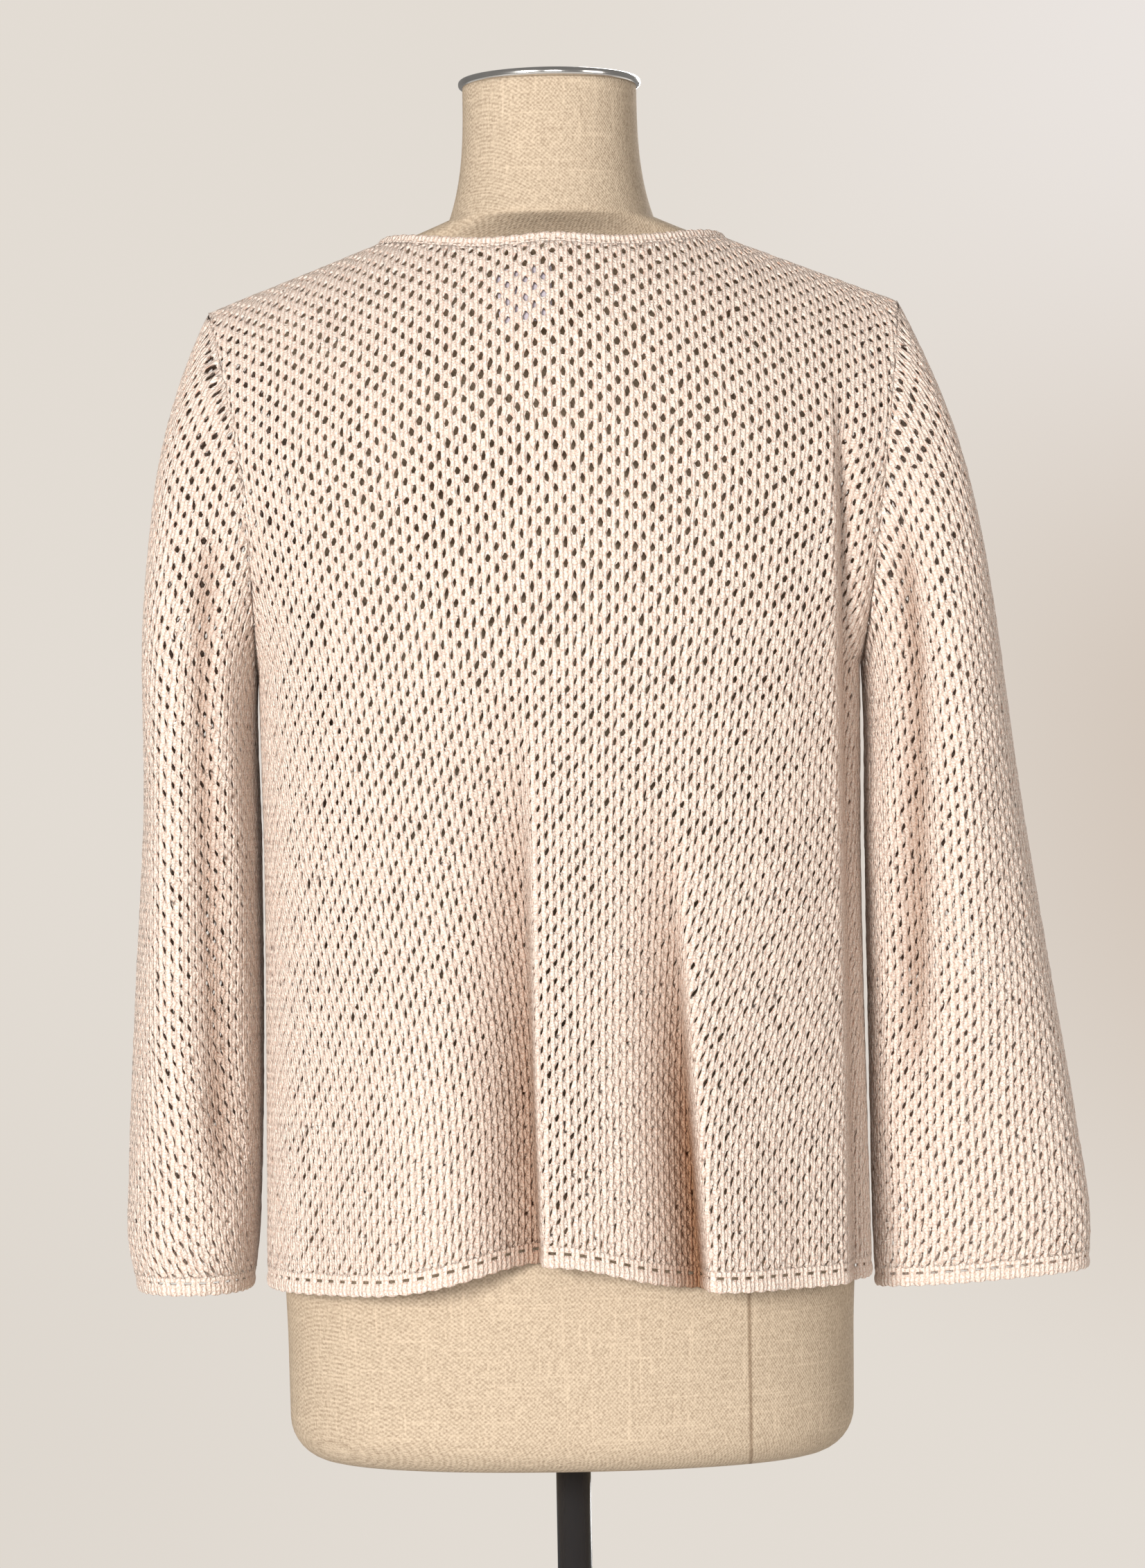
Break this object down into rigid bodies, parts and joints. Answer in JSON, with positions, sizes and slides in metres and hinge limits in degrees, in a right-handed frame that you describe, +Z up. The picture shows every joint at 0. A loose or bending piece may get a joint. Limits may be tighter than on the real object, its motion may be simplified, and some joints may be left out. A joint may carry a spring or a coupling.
{
  "type": "cardigan on a limbless dress form",
  "caption": "Open-front openwork knit cardigan with long wide sleeves and looped crochet edging, worn on a limbless linen-covered dress form with a pole and a flat round base.",
  "frame": {"origin": "on the floor, at the centre of the underside of the round base", "axes": "+Z up, +Y towards the wearer's back, which the picture shows, +X towards the wearer's left"},
  "size_m": [0.5805, 0.36, 1.5633],
  "materials": {
    "knit": "speckled cotton yarn, openwork knit",
    "edging": "speckled cotton yarn, crochet",
    "label": "woven tape, blank",
    "form_linen": "coarse linen weave",
    "chrome_cap": "polished",
    "black_metal": "gloss"
  },
  "bodies": {
    "root": {"back": "knit", "front_left": "knit", "front_right": "knit", "sleeve_left": "knit", "sleeve_right": "knit", "neck_edging_back": "edging", "neck_edging_left": "edging", "neck_edging_right": "edging", "front_edging_left": "edging", "front_edging_right": "edging", "hem_edging_back": "edging", "hem_edging_left": "edging", "hem_edging_right": "edging", "cuff_edging_left": "edging", "cuff_edging_right": "edging", "neck_label": "label", "form_body": "form_linen", "neck_cap": "chrome_cap", "pole": "black_metal", "pole_collar": "black_metal", "base": "black_metal"}
  },
  "joints": []
}
